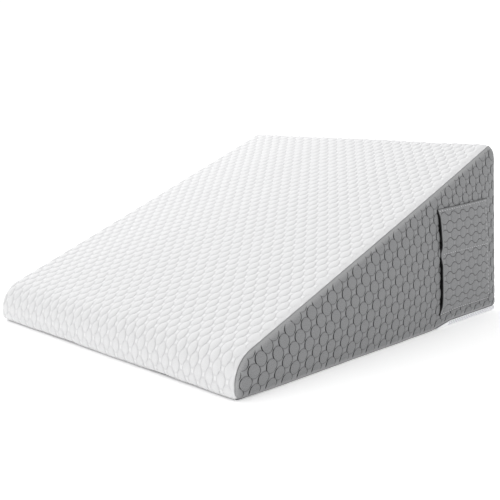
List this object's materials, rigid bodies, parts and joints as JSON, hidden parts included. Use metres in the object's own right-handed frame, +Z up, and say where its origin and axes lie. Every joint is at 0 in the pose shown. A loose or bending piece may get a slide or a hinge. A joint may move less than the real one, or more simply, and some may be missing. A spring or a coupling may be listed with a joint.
{
  "type": "wedge pillow",
  "caption": "Foam-filled wedge pillow in a sewn cover: white quilted knit on the slope, grey quilted sides and back, a side pocket in two parts and a zip round the foot of the back.",
  "frame": {"origin": "Middle of the flat base, on the surface that the pillow lies on.", "axes": "+X to the side with the pocket, +Y from the thin nose to the tall back, +Z up."},
  "size_m": [0.5779, 0.6232, 0.2821],
  "materials": {
    "white_knit": "soft white quilted knit with small raised cells",
    "grey_knit": "matt mid-grey quilted knit with small raised cells",
    "base_cloth": "plain dark grey woven base cloth",
    "zip_white": "white nylon zip"
  },
  "bodies": {
    "root": {"cushion": "base_cloth", "top_panel": "white_knit", "side_panel_right": "grey_knit", "side_panel_left": "grey_knit", "back_panel": "grey_knit", "pocket": "grey_knit", "zip": "zip_white"}
  },
  "joints": []
}
